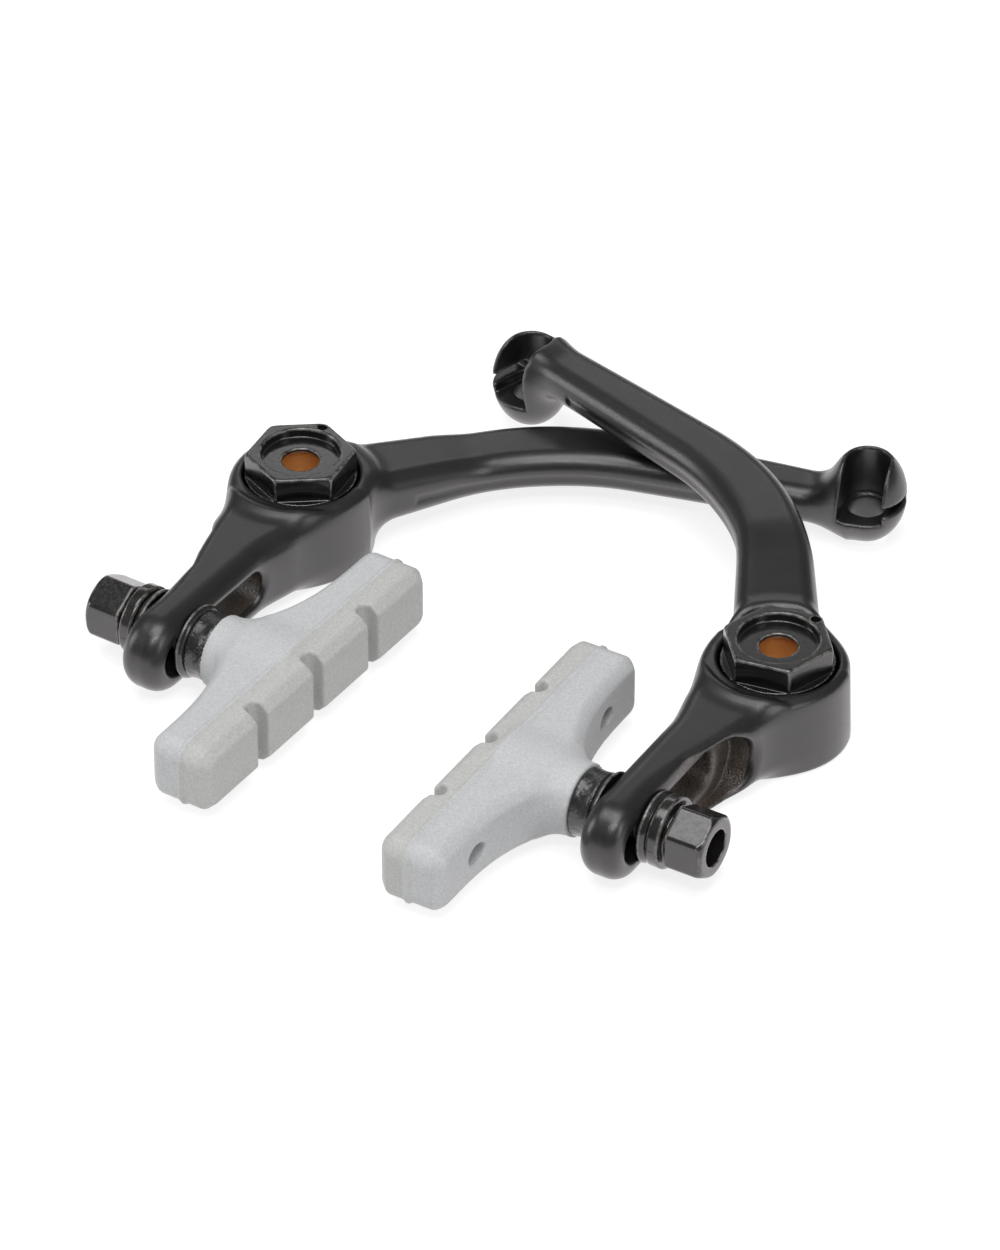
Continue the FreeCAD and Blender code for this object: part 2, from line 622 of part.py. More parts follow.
for side in SIDES:
    add_arm(side)
    add_pivot_bushing(side)
    add_tension_nut(side)
    add_return_spring(side)
    add_pad(side)
    add_pad_stud(side)
    add_ring(side, "pad_spacer", "spacer_radius", "spacer_length", PAD_END)
    add_ring(side, "inner_washer", "inner_washer_radius", "inner_washer_length",
             "0 - leg_inner - inner_washer_length", "washer_dome", outwards=False)
    add_ring(side, "outer_washer", "outer_washer_radius", "outer_washer_length", LEG_OUTSIDE, "washer_dome")
    add_pad_nut(side)
doc.recompute()

for piece in doc.Objects:
    if "Invalid" in piece.State or "Error" in piece.State:
        raise RuntimeError(f"{piece.Name} did not build: {piece.State}")
for piece in SUBPARTS:
    if piece.Shape.isNull() or not piece.Shape.isValid():
        raise RuntimeError(f"{piece.Label} has no valid shape")

os.makedirs("parts", exist_ok=True)
for piece in SUBPARTS:
    piece.Shape.exportStep(f"parts/{piece.Label}.step")
    print(piece.Label, len(piece.Shape.Solids), round(piece.Shape.Volume, 1))
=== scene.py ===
# %% [markdown]
# # A cross-arm rim brake
#
# The real brake is two forged arms that cross. Each swings on a post of the bicycle's frame and carries a
# rubber pad. The imported solids are the truth about size and motion. This lesson gives them their looks:
# soft forging fillets, rounded machined edges, moulded rubber, plating whose edges are painted pale, partly
# as rubbed wear and partly as a painted glint.
#
# Everything is in metres when it becomes a mesh. The shapes are thought out in millimetres, as a drawing is.

# %% Load the imported brake
import math

import bpy
import numpy as np
from mathutils import Matrix, Vector


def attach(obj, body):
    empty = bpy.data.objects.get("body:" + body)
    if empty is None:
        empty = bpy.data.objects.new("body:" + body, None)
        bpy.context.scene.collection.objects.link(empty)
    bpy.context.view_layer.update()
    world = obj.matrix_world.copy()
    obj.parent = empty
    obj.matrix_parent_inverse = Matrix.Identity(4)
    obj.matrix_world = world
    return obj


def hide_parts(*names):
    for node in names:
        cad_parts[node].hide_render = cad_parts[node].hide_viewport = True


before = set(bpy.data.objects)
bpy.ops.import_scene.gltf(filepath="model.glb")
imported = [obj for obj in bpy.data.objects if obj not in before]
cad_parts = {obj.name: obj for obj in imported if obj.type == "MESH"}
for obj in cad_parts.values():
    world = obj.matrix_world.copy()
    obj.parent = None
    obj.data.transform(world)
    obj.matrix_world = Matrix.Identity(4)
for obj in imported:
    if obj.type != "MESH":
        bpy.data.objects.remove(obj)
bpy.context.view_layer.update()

# %% Places that the drawing gives, in millimetres
PIVOT = {"left": -46.0, "right": 46.0}
SWING = {"left": 0.0, "right": math.radians(2.8)}
STUD_Y, STUD_Z = -40.0, 7.9
MM = 0.001
scene = bpy.context.scene
scene.view_settings.view_transform = "Standard"
print("pivots at", PIVOT)

# %% [markdown]
# ## Camera, floor and light
#
# A product photograph like this is taken from far away with a long lens, so lines hardly converge. We put the
# camera 1.19 m off with a 210 mm lens. The floor is white: for the camera it glows a little, which keeps it
# pale, and it still takes the object's shadow. Its bright reflection is what shows the dark flanks of the arms.
# Light comes from large soft panels.

# %% Camera
CAMERA_DISTANCE = 1.187
target = Vector((-6.31, -0.78, 0.0)) * MM
level_part, rising_part = 0.8018, 0.5976
towards_camera = Vector((0.552 * level_part, -0.834 * level_part, rising_part)).normalized()
camera = bpy.data.objects.new("camera", bpy.data.cameras.new("camera"))
scene.collection.objects.link(camera)
camera.location = target + towards_camera * CAMERA_DISTANCE
camera.rotation_euler = (-towards_camera).to_track_quat("-Z", "Y").to_euler()
camera.data.lens = 210
camera.data.sensor_width = 36
camera.data.clip_start = 0.05
scene.camera = camera
print("camera at", tuple(round(c, 3) for c in camera.location))


# %% A helper that starts a material
def new_finish(name):
    """A node material: its tree, its Principled shader and a function that adds a node."""
    finish = bpy.data.materials.new(name)
    finish.use_nodes = True
    tree = finish.node_tree
    shader = tree.nodes["Principled BSDF"]

    def add(kind, **settings):
        node = tree.nodes.new(kind)
        for key, value in settings.items():
            if key in node.inputs:
                node.inputs[key].default_value = value
            else:
                setattr(node, key, value)
        return node

    return finish, tree, shader, add


# %% Floor
FLOOR_HALF, FLOOR_LEVEL = 3, -0.0002
white, tree, shader, add = new_finish("white_paper")
tree.nodes.remove(shader)
paper = add("ShaderNodeBsdfDiffuse", Color=(0.8, 0.8, 0.8, 1))
seen_paper = add("ShaderNodeBsdfDiffuse", Color=(0.36, 0.36, 0.365, 1))
glow = add("ShaderNodeEmission", Color=(1, 1, 1, 1), Strength=0.8)
both = add("ShaderNodeAddShader")
mirrored = add("ShaderNodeEmission", Color=(1, 0.97, 0.98, 1), Strength=1.5)
rays = add("ShaderNodeLightPath")
unseen = add("ShaderNodeMixShader")
pick = add("ShaderNodeMixShader")
for source, goal in ((seen_paper.outputs[0], both.inputs[0]),
                     (glow.outputs[0], both.inputs[1]),
                     (rays.outputs["Is Glossy Ray"], unseen.inputs[0]),
                     (paper.outputs[0], unseen.inputs[1]),
                     (mirrored.outputs[0], unseen.inputs[2]),
                     (rays.outputs["Is Camera Ray"], pick.inputs[0]),
                     (unseen.outputs[0], pick.inputs[1]),
                     (both.outputs[0], pick.inputs[2]),
                     (pick.outputs[0], tree.nodes["Material Output"].inputs[0])):
    tree.links.new(source, goal)
floor_mesh = bpy.data.meshes.new("floor")
floor_corners = [(x * FLOOR_HALF, y * FLOOR_HALF, FLOOR_LEVEL) for x, y in ((-1, -1), (1, -1), (1, 1), (-1, 1))]
floor_mesh.from_pydata(floor_corners, [], [(0, 1, 2, 3)])
floor_mesh.materials.append(white)
floor = bpy.data.objects.new("floor", floor_mesh)
scene.collection.objects.link(floor)
print("floor laid")


# %% Light panels
def light_panel(name, place, aim, size, watts):
    """A soft rectangular panel at place that faces the point aim."""
    lamp = bpy.data.lights.new(name, "AREA")
    lamp.shape = "RECTANGLE"
    lamp.size, lamp.size_y = size
    lamp.energy = watts
    panel = bpy.data.objects.new(name, lamp)
    panel.location = place
    panel.rotation_euler = (Vector(aim) - Vector(place)).to_track_quat("-Z", "Y").to_euler()
    scene.collection.objects.link(panel)


light_panel("overhead", (0.0, -0.12, 0.85), (0, 0, 0), (0.8, 0.4), 3.9)
light_panel("behind", (-0.45, 0.65, 0.5), (0, 0, 0), (0.6, 0.1), 0.45)
light_panel("front", (0.25, -0.45, 0.75), (0, 0, 0), (0.5, 0.12), 2.2)
light_panel("left_side", (-0.75, -0.45, 0.35), (0, 0, 0), (0.3, 0.5), 2.0)
light_panel("right_side", (0.8, -0.15, 0.4), (0, 0, 0), (0.25, 0.5), 1.4)

world = bpy.data.worlds.new("white_room")
scene.world = world
world.use_nodes = True
room = world.node_tree
background = room.nodes["Background"]
background.inputs["Strength"].default_value = 0.2
seen = room.nodes.new("ShaderNodeBackground")
seen.inputs["Strength"].default_value = 1.0
for shade in (background, seen):
    shade.inputs["Color"].default_value = (1, 1, 1, 1)
path_node = room.nodes.new("ShaderNodeLightPath")
room_pick = room.nodes.new("ShaderNodeMixShader")
room.links.new(path_node.outputs["Is Camera Ray"], room_pick.inputs[0])
room.links.new(background.outputs[0], room_pick.inputs[1])
room.links.new(seen.outputs[0], room_pick.inputs[2])
room.links.new(room_pick.outputs[0], room.nodes["World Output"].inputs[0])
print("five panels in a white room")

# %% [markdown]
# ## Finishes
#
# Each finish is made of noise on Object coordinates, which are metres here: a noise scale of 4000 makes grains
# a quarter of a millimetre wide. Black anodising over bead-blasted aluminium is dark and silky. Black plating
# on steel is glossy. Outer edges are painted paler, partly as rubbed wear and partly as a painted glint where
# edge highlights fall, most of all on the plated pieces. The pieces carry an edge attribute for wear and glint,
# which is 1 on an outer edge and 0 elsewhere, so a finish knows where to paint them.


# %% Shared steps of the finishes
def grain(tree, add, scale, detail=3.0):
    """Noise of about scale grains per metre on the piece's own coordinates."""
    coordinates = add("ShaderNodeTexCoord")
    noise = add("ShaderNodeTexNoise", Scale=scale, Detail=detail)
    tree.links.new(coordinates.outputs["Object"], noise.inputs["Vector"])
    return noise.outputs["Fac"]


def spread(tree, add, source, low, high, low_in=0.3, high_in=0.7):
    """Stretch a noise value to the range from low to high."""
    stretch = add("ShaderNodeMapRange")
    stretch.inputs["From Min"].default_value = low_in
    stretch.inputs["From Max"].default_value = high_in
    stretch.inputs["To Min"].default_value = low
    stretch.inputs["To Max"].default_value = high
    tree.links.new(source, stretch.inputs["Value"])
    return stretch.outputs["Result"]


def bump(tree, add, shader, source, strength, depth):
    """Use a noise value as small hills of the given depth in metres."""
    hills = add("ShaderNodeBump", Strength=strength, Distance=depth)
    tree.links.new(source, hills.inputs["Height"])
    tree.links.new(hills.outputs["Normal"], shader.inputs["Normal"])


def two_tone(tree, add, factor, first, second):
    """Mix of two colours by a factor."""
    mix = add("ShaderNodeMix", data_type="RGBA")
    mix.inputs["A"].default_value = (*first, 1)
    mix.inputs["B"].default_value = (*second, 1)
    tree.links.new(factor, mix.inputs["Factor"])
    return mix.outputs["Result"]


# %% Finishes of metal
def metal_finish(name, dark, light, rough, scale, hill, metallic=0.0, worn_and_glint_colour=None, mottle=160.0):
    """Metal with mottled colour, uneven gloss and fine hills; an optional edge colour is painted on outer edges,
    partly as rubbed wear and partly as a painted glint.
    """
    finish, tree, shader, add = new_finish(name)
    shader.inputs["Metallic"].default_value = metallic
    shader.inputs["Specular IOR Level"].default_value = 0.8
    cloud = spread(tree, add, grain(tree, add, mottle), 0.0, 1.0)
    colour = two_tone(tree, add, cloud, dark, light)
    # Outer edges take the edge colour: partly rubbed wear, partly a painted glint where edge highlights fall.
    if worn_and_glint_colour:
        rubbed_and_glint = add("ShaderNodeAttribute", attribute_name="wear_and_glint")
        patchy = add("ShaderNodeMath", operation="MULTIPLY")
        edges = spread(tree, add, rubbed_and_glint.outputs["Fac"], 0.0, 1.0, 0.2, 0.8)
        patches = spread(tree, add, grain(tree, add, 900.0), 0.0, 1.0)
        tree.links.new(edges, patchy.inputs[0])
        tree.links.new(patches, patchy.inputs[1])
        mix = add("ShaderNodeMix", data_type="RGBA")
        mix.inputs["B"].default_value = (*worn_and_glint_colour, 1)
        tree.links.new(colour, mix.inputs["A"])
        tree.links.new(patchy.outputs[0], mix.inputs["Factor"])
        colour = mix.outputs["Result"]
    tree.links.new(colour, shader.inputs["Base Color"])
    fine = grain(tree, add, scale)
    tree.links.new(spread(tree, add, fine, rough - 0.05, rough + 0.07), shader.inputs["Roughness"])
    bump(tree, add, shader, fine, 0.5, hill)
    return finish


anodised_black = metal_finish("anodised_black", (0.0068, 0.0059, 0.0063), (0.011, 0.0097, 0.0103), 0.33, 3600.0,
                              0.00002, worn_and_glint_colour=(0.03, 0.029, 0.03))
blasted_floor = metal_finish("blasted_floor", (0.006, 0.0048, 0.0042), (0.105, 0.083, 0.066), 0.31, 3200.0, 0.0003,
                             mottle=3600.0)
# Its pale edge colour is partly rubbed plating and partly a painted glint on the nut collars and washer rims.
black_plating = metal_finish("black_plating", (0.005, 0.005, 0.0055), (0.01, 0.0095, 0.01), 0.19, 2600.0,
                             0.00001, worn_and_glint_colour=(0.2, 0.19, 0.175))
# Its pale edge colour is partly rubbed oxide and partly a painted highlight on the pad nut's edges.
oxide_worn_and_glinting = metal_finish("oxide_worn_and_glinting", (0.006, 0.0056, 0.0056), (0.021, 0.0192, 0.0183), 0.19, 1500.0,
                          0.00003, worn_and_glint_colour=(0.25, 0.235, 0.22))
cast_black = metal_finish("cast_black", (0.006, 0.006, 0.006), (0.016, 0.0155, 0.015), 0.26, 1300.0, 0.0003)
bronze = metal_finish("bronze", (0.62, 0.3, 0.085), (0.78, 0.42, 0.14), 0.36, 1200.0, 0.00002, metallic=0.4)
spring_steel = metal_finish("spring_steel", (0.02, 0.02, 0.02), (0.05, 0.05, 0.05), 0.3, 2500.0, 0.00001)
stud_steel = metal_finish("stud_steel", (0.03, 0.03, 0.03), (0.07, 0.068, 0.066), 0.32, 2500.0, 0.00001)
print("eight metal finishes")


# %% Finishes of rubber
def rubber_finish(name, dark, light, rough):
    """Moulded grey rubber: fine pale grains, a dull skin and small pores."""
    finish, tree, shader, add = new_finish(name)
    speck = spread(tree, add, grain(tree, add, 2600.0, 5.0), 0.0, 1.0)
    tree.links.new(two_tone(tree, add, speck, dark, light), shader.inputs["Base Color"])
    fine = grain(tree, add, 1800.0, 4.0)
    tree.links.new(spread(tree, add, fine, rough - 0.06, rough + 0.08), shader.inputs["Roughness"])
    bump(tree, add, shader, fine, 0.35, 0.00004)
    return finish


back_rubber = rubber_finish("back_rubber", (0.46, 0.467, 0.475), (0.58, 0.587, 0.595), 0.55)
friction_rubber = rubber_finish("friction_rubber", (0.43, 0.435, 0.42), (0.55, 0.555, 0.537), 0.6)
print("two rubbers")

# %% [markdown]
# ## Shaping with distances
#
# A forging has no sharp inside corners, and a machined edge is never quite sharp. One way to get both is to
# bevel by hand, which is slow where curved shapes meet. Here every shape is a distance instead: a function
# that is negative inside and positive outside. Two shapes are joined with a soft minimum, which leaves a fillet
# of any size, and cut with a soft maximum, which rounds the edge. The surface where the distance is zero is then
# wrapped in small quads.


# %% Joining and cutting
def join(a, b, fillet):
    """Both shapes, with a fillet about as wide as given where they meet."""
    share = np.clip(0.5 + 0.5 * (b - a) / fillet, 0, 1)
    return b + (a - b) * share - fillet * share * (1 - share)


def carve(a, tool, edge):
    """The first shape without the tool, with its new edge rounded."""
    return -join(-a, tool, edge)


def meet(a, b, edge):
    """What two shapes have in common, with rounded edges."""
    return -join(-a, -b, edge)


def slab(value, low, high):
    """Distance to the layer between two values."""
    return np.maximum(low - value, value - high)


def rounded_bar(across, rise, half_width, half_depth, corner):
    """Distance to a rounded rectangle, which is the section of a bar."""
    out = np.abs(across) - half_width + corner
    up = np.abs(rise) - half_depth + corner
    return np.hypot(np.maximum(out, 0), np.maximum(up, 0)) + np.minimum(np.maximum(out, up), 0) - corner


def hexagon(u, v, across_flats, edge):
    """Distance to a hexagon with a corner on the u axis."""
    flats = [np.abs(u * math.cos(a) + v * math.sin(a)) - across_flats / 2 for a in np.radians((30, 90, 150))]
    return meet(meet(flats[0], flats[1], edge), flats[2], edge)


# %% Wrapping the zero surface in quads
CORNERS = [(i, j, k) for i in (0, 1) for j in (0, 1) for k in (0, 1)]


def wrap(field, low, high, step):
    """Points and quads of the surface where field is zero, one point in each cell that it crosses."""
    axes = [np.arange(a - 2 * step, b + 3 * step, step) for a, b in zip(low, high)]
    value = field(*np.meshgrid(*axes, indexing="ij"))
    inside = value < 0
    cells = tuple(n - 1 for n in value.shape)

    def shifted(array, corner):
        return array[tuple(slice(c, c + n) for c, n in zip(corner, cells))]

    count = sum(shifted(inside, corner).astype(np.int8) for corner in CORNERS)
    crossed = (count > 0) & (count < 8)
    number = np.full(cells, -1)
    number[crossed] = np.arange(crossed.sum())
    at = {corner: shifted(value, corner)[crossed] for corner in CORNERS}
    total = np.zeros((crossed.sum(), 3))
    hits = np.zeros((crossed.sum(), 1))
    for start in CORNERS:
        for axis in range(3):
            if start[axis] == 0:
                stop = tuple(1 if n == axis else c for n, c in enumerate(start))
                cut = (at[start] < 0) != (at[stop] < 0)
                place = np.tile(np.array(start, float), (len(cut), 1))
                place[:, axis] += at[start] / np.where(cut, at[start] - at[stop], 1)
                total += place * cut[:, None]
                hits += cut[:, None]
    points = (np.argwhere(crossed) + total / hits) * step + [axis[0] for axis in axes]

    quads = []
    for axis in range(3):
        first = np.moveaxis(np.moveaxis(inside, axis, 0)[:-1], 0, axis)
        second = np.moveaxis(np.moveaxis(inside, axis, 0)[1:], 0, axis)
        edges = np.argwhere(first != second)
        ring = []
        for u, v in ((-1, -1), (0, -1), (0, 0), (-1, 0)):
            cell = edges.copy()
            cell[:, (axis + 1) % 3] += u
            cell[:, (axis + 2) % 3] += v
            ring.append(number[tuple(cell.T)])
        ring = np.stack(ring, 1)
        inwards = ~first[tuple(edges.T)]
        ring[inwards] = ring[inwards][:, ::-1]
        quads.append(ring)
    return points, np.concatenate(quads)


PROBE, LARGEST_MOVE, LEAST_SLOPE = 0.35, 0.3, 0.2
# Gain and start of the outer-edge mask that places rubbed wear and a painted glint.
WEAR_AND_GLINT_GAIN, WEAR_AND_GLINT_START = 0.4, 0.3


def settle(field, points, step):
    """Move the points onto the zero surface, and tell how sharply it bends outwards at each of them."""
    reach = PROBE * step
    for _ in range(3):
        middle = field(*points.T)
        slope = np.empty_like(points)
        bend = -6 * middle
        for axis in range(3):
            offset = np.zeros(3)
            offset[axis] = reach
            ahead = field(*(points + offset).T)
            behind = field(*(points - offset).T)
            slope[:, axis] = (ahead - behind) / (2 * reach)
            bend += ahead + behind
        steep = np.maximum((slope ** 2).sum(1), LEAST_SLOPE)
        move = np.clip(middle / steep, -LARGEST_MOVE * step, LARGEST_MOVE * step)
        points = points - slope * move[:, None]
    return points, np.clip(bend / reach ** 2 * WEAR_AND_GLINT_GAIN - WEAR_AND_GLINT_START, 0, 1)


# %% From points to a piece
def on_post(points, side, turn):
    """From millimetres about a pivot to the brake's metres, turned by an angle in radians."""
    x, y, z = points.T
    cosine, sine = math.cos(turn), math.sin(turn)
    return np.stack([x * cosine - y * sine + PIVOT[side], x * sine + y * cosine, z], 1) * MM


def on_arm(points, side):
    """From the arm's own millimetres, drawn for the right side, to the brake's metres."""
    flip = (-1, 1, 1) if side == "left" else (1, 1, 1)
    return on_post(points * flip, side, SWING[side])


def shape_on_arm(field, low, high, step, side):
    """Wrap a field of an arm's millimetres: points and quads in place, the edge mask for wear and painted glint,
    and each quad's drawn middle.
    """
    points, quads = wrap(field, low, high, step)
    points, wear_and_glint = settle(field, points, step)
    middle = points[quads].mean(1)
    if side == "left":
        quads = quads[:, ::-1]
    return on_arm(points, side), quads, wear_and_glint, middle


def add_piece(name, points, quads, wear_and_glint, finishes, zones=None):
    """A smooth mesh object with its edge attribute for rubbed wear and painted glint and, where zones are given, a
    finish for each face.
    """
    mesh = bpy.data.meshes.new(name)
    mesh.from_pydata(points, [], quads.tolist())
    for finish in finishes:
        mesh.materials.append(finish)
    if zones is not None:
        mesh.polygons.foreach_set("material_index", zones.astype(np.int32))
    mesh.attributes.new("wear_and_glint", "FLOAT", "POINT").data.foreach_set("value", wear_and_glint.astype(np.float32))
    mesh.shade_smooth()
    piece = bpy.data.objects.new(name, mesh)
    scene.collection.objects.link(piece)
    print(name, len(quads), "quads")
    return piece


def stand_for(piece, node, body):
    """Let a piece ride on its body in place of the CAD node, which is hidden."""
    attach(piece, body)
    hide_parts(node)


# %% [markdown]
# ## The arms
#
# Each arm is one aluminium forging: a round boss at the pivot, a lever that bends inwards to a ball, and a leg
# with a slot for the pad. It is forged first and machined afterwards, and the code keeps that order. The blank
# is joined with wide fillets, then the recess, the bores, the slot and the cable seat are cut with small edges.
#
# The lever's line is two straights with an arc between them. A point is measured along this line and across it,
# so the bar's section can be drawn as if the lever were straight.

# %% The lever's line, seen from above
BEND = np.array([-21.2, 36.8])
END = np.array([-76.6, 53.1])
BEND_RADIUS = 46.0
first_way = BEND / np.hypot(*BEND)
second_way = (END - BEND) / np.hypot(*(END - BEND))
turn_angle = math.acos(first_way @ second_way)
straight = np.hypot(*BEND) - BEND_RADIUS * math.tan(turn_angle / 2)
arc_length = BEND_RADIUS * turn_angle
lever_length = straight + arc_length + np.hypot(*(END - BEND)) - BEND_RADIUS * math.tan(turn_angle / 2)
bend_at = straight + arc_length / 2
print("lever is", round(lever_length, 1), "mm long")


def along_lever(x, y):
    """Distance along the lever's line and across it, positive towards the inside of the bend."""
    side_way = np.array([-first_way[1], first_way[0]])
    centre = first_way * straight + side_way * BEND_RADIUS
    way = x * first_way[0] + y * first_way[1]
    across = x * side_way[0] + y * side_way[1]
    out_x, out_y = x - centre[0], y - centre[1]
    angle = np.arctan2(-side_way[0] * out_y + side_way[1] * out_x, -side_way[0] * out_x - side_way[1] * out_y)
    after = (x - END[0]) * second_way[0] + (y - END[1]) * second_way[1] + lever_length
    last_across = -(x - END[0]) * second_way[1] + (y - END[1]) * second_way[0]
    on_last = (after > straight + arc_length) & (way > straight)
    on_arc = (way > straight) & ~on_last
    way = np.where(on_arc, straight + angle * BEND_RADIUS, way)
    across = np.where(on_arc, BEND_RADIUS - np.hypot(out_x, out_y), across)
    return np.where(on_last, after, way), np.where(on_last, last_across, across)


def smooth_through(value, stations, heights):
    """A smooth line through the given heights at the given stations, level where it turns or rests."""
    stations, heights = np.array(stations, float), np.array(heights, float)
    slopes = np.gradient(heights, stations)
    steps = np.diff(heights)
    slopes[1:-1][steps[1:] * steps[:-1] <= 0] = 0
    value = np.clip(value, stations[0], stations[-1])
    n = np.clip(np.searchsorted(stations, value) - 1, 0, len(stations) - 2)
    gap = stations[n + 1] - stations[n]
    t = (value - stations[n]) / gap
    return (heights[n] * (1 + 2 * t) * (1 - t) ** 2 + slopes[n] * gap * t * (1 - t) ** 2
            + heights[n + 1] * t * t * (3 - 2 * t) - slopes[n + 1] * gap * t * t * (1 - t))


# %% The lever
NEAR_SHARES, FAR_SHARES = np.array([0, 0.35, 0.6, 0.8, 1]), np.array([0.25, 0.6, 1])
LEVER_STATIONS = np.concatenate([NEAR_SHARES * bend_at, bend_at + FAR_SHARES * (lever_length - bend_at)])
NEAR_EASE = np.array([0, 0.4375, 0.75, 1, 1])
LEVER_WIDTHS, LEVER_DEPTHS = (15.0, 11.8, 9.0), (11.0, 7.0, 6.8)
LEVER_LEVELS = {"left": (9.2, 6.6, 5.9), "right": (9.2, 14.8, 14.5)}
LEVER_CORNER, LEVER_STOP = 3.2, lever_length - 4
GROOVE_RADIUS, GROOVE_OUT, GROOVE_DROP = 0.85, 0.5, 0.6
GROOVE_START, GROOVE_STOP = 18, lever_length - 14


def lever_measure(way, root, bend, end, power=1):
    """A measure of the bar along its line, from what it is at the root, at the bend and at the end."""
    heights = np.concatenate([root + (bend - root) * NEAR_EASE, bend + (end - bend) * FAR_SHARES ** power])
    return smooth_through(way, LEVER_STATIONS, heights)


def lever_field(side, x, y, z):
    """The bar from the boss round the bend to the ball, with a fine groove along its inner side."""
    way, across = along_lever(x, y)
    half_width = lever_measure(way, *LEVER_WIDTHS) / 2
    half_depth = lever_measure(way, *LEVER_DEPTHS) / 2
    rise = z - lever_measure(way, *LEVER_LEVELS[side], power=3)
    bar = rounded_bar(across, rise, half_width, half_depth, LEVER_CORNER)
    bar = np.maximum(bar, slab(way, 0, LEVER_STOP))
    groove = np.hypot(across - half_width - GROOVE_OUT, rise + GROOVE_DROP) - GROOVE_RADIUS
    return carve(bar, np.maximum(groove, slab(way, GROOVE_START, GROOVE_STOP)), 0.6)


# %% The leg
LEG_INNER, LEG_OUTER = -7.4, 0.4
LEG_END, LEG_HALF_HEIGHT, LEG_CORNER = -45.0, 6.8, 3.1
LEG_STATIONS = [LEG_END, -37.8, -30.6, -22.5, -13.5, 0]
INNER_SIDE = [LEG_INNER, LEG_INNER, LEG_INNER, LEG_INNER, -9.0, -10.5]
OUTER_SIDE = [LEG_OUTER, 0.6, 2.0, 4.2, 6.2, 8.5]


def leg_field(x, y, z):
    """The leg that narrows from the boss to a flat plate with a round end."""
    inner = smooth_through(y, LEG_STATIONS, INNER_SIDE)
    outer = smooth_through(y, LEG_STATIONS, OUTER_SIDE)
    rise = np.where(y < LEG_END, np.hypot(y - LEG_END, z - STUD_Z), np.abs(z - STUD_Z))
    leg = rounded_bar(x - (inner + outer) / 2, rise, (outer - inner) / 2, LEG_HALF_HEIGHT, LEG_CORNER)
    return np.maximum(leg, y)


# %% The forged blank
BALL_LEVEL = {"left": 8.8, "right": 9.8}
BALL_RADIUS, BALL_HALF_HEIGHT = 6.6, 8.6
BOSS_RADIUS, BOSS_TAPER, BOSS_HEIGHT = 11.97, 0.5, 15.0
FACING_RADIUS, BLANK_TOP = 11.2, 18.6
LEG_FILLET, LEVER_FILLET, BALL_FILLET = 5.0, 4.0, 4.5


def blank_field(side, x, y, z):
    """Boss, leg, lever and ball, joined by forging fillets, with the boss faced flat."""
    radius = np.hypot(x, y)
    boss = meet(radius - BOSS_RADIUS + BOSS_TAPER * z / BOSS_HEIGHT, z - BOSS_HEIGHT, 2.4)
    flat = np.hypot(x - END[0], y - END[1]) / BALL_RADIUS
    rise = (z - BALL_LEVEL[side]) / BALL_HALF_HEIGHT
    from_middle = np.hypot(flat, rise)
    steep = np.maximum(np.hypot(flat / BALL_RADIUS, rise / BALL_HALF_HEIGHT), 1e-3)
    ball = (from_middle - 1) * (from_middle / steep)
    blank = join(boss, leg_field(x, y, z), LEG_FILLET)
    blank = join(blank, lever_field(side, x, y, z), LEVER_FILLET)
    faced = carve(blank, np.maximum(radius - FACING_RADIUS, BOSS_HEIGHT - z), 2.0)
    return meet(meet(join(faced, ball, BALL_FILLET), -z, 0.8), z - BLANK_TOP, 0.4)


# %% Cuts at the pivot and in the leg
RECESS_RADIUS, RECESS_FLOOR = 9.75, 5.0
HUB_RADIUS, HUB_TOP = 6.3, 13.1
BUSHING_RADIUS = 5.0
POCKET_START, PAST_THE_TIP = -22.0, -90.0
POCKET_HALF, POCKET_WIDENS = 5.7, 0.7
WIDE_AT, NARROW_AT = -37.5, -27.0
SLOT_HALF, SLOT_START = 3.15, -24.3


def racetrack(y, z, half_width, start, stop):
    """Distance to a round-ended slot that runs along y at the stud's height."""
    beyond = np.maximum(slab(y, stop, start), 0)
    return np.hypot(beyond, z - STUD_Z) - half_width


def machined_blank(side, x, y, z):
    """The blank with its recess, bushing bore, pocket and slot cut. The pocket widens for the washer."""
    arm = blank_field(side, x, y, z)
    radius = np.hypot(x, y)
    ring = np.maximum(radius - RECESS_RADIUS, RECESS_FLOOR - z)
    ring = carve(ring, np.maximum(radius - HUB_RADIUS, z - HUB_TOP), 0.4)
    arm = carve(arm, ring, 0.6)
    arm = carve(arm, radius - BUSHING_RADIUS, 0.3)
    pocket_half = POCKET_HALF + POCKET_WIDENS * smooth_through(y, [WIDE_AT, NARROW_AT], [1.0, 0.0])
    pocket = np.maximum(racetrack(y, z, pocket_half, POCKET_START, PAST_THE_TIP), LEG_OUTER - x)
    arm = carve(arm, pocket, 1.2)
    return carve(arm, racetrack(y, z, SLOT_HALF, SLOT_START, LEG_END), 1.2)


# %% The cable seat
SEAT_RADIUS, SEAT_BORE, LEDGE_DROP = 3.6, 3.1, 2.45
SLIT_HALF, SLIT_REACH = 0.85, 2


